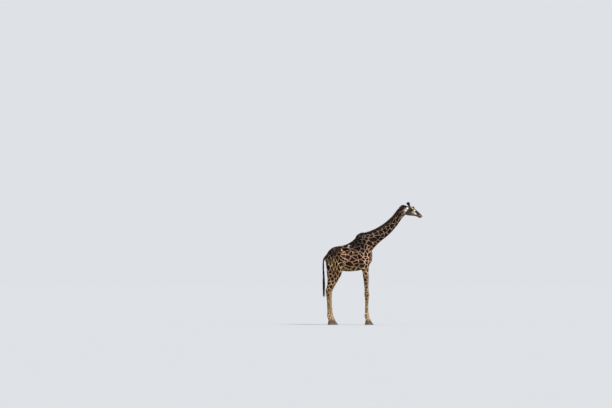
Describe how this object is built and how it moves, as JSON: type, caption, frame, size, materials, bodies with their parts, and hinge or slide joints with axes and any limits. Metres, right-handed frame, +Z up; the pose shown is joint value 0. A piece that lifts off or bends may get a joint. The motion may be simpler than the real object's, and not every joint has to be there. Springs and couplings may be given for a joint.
{
  "type": "giraffe",
  "caption": "Life-size adult giraffe standing with its long neck stretched forwards and up and its tail hanging; a still museum model that rests on its hooves.",
  "frame": {"origin": "on the floor, under the middle of the whole animal's box", "axes": "+X towards the muzzle, +Y towards the animal's left side, +Z up"},
  "size_m": [3.3458, 0.6446, 4.1039],
  "materials": {
    "hide": "short glossy fur, very dark brown jagged patches parted by narrow tan lines, paler legs and face",
    "mane_hair": "short stiff upright hair, dark reddish brown",
    "tail_hair": "long coarse black hair",
    "horn_hair": "skin-covered horn, dark furred stalk with a black tufted knob",
    "hoof": "dark grey-brown hoof horn with fine growth rings and dusty toes",
    "eye": "wet, very dark brown eye"
  },
  "bodies": {
    "root": {"head": "hide", "lower_jaw": "hide", "neck": "hide", "trunk": "hide", "tail": "hide", "ear_left": "hide", "ear_right": "hide", "front_leg_left": "hide", "front_leg_right": "hide", "hind_leg_left": "hide", "hind_leg_right": "hide", "ossicone_left": "horn_hair", "ossicone_right": "horn_hair", "eye_left": "eye", "eye_right": "eye", "mane": "mane_hair", "tail_tuft": "tail_hair", "front_hoof_left_outer": "hoof", "front_hoof_left_inner": "hoof", "front_hoof_right_outer": "hoof", "front_hoof_right_inner": "hoof", "hind_hoof_left_outer": "hoof", "hind_hoof_left_inner": "hoof", "hind_hoof_right_outer": "hoof", "hind_hoof_right_inner": "hoof"}
  },
  "joints": []
}
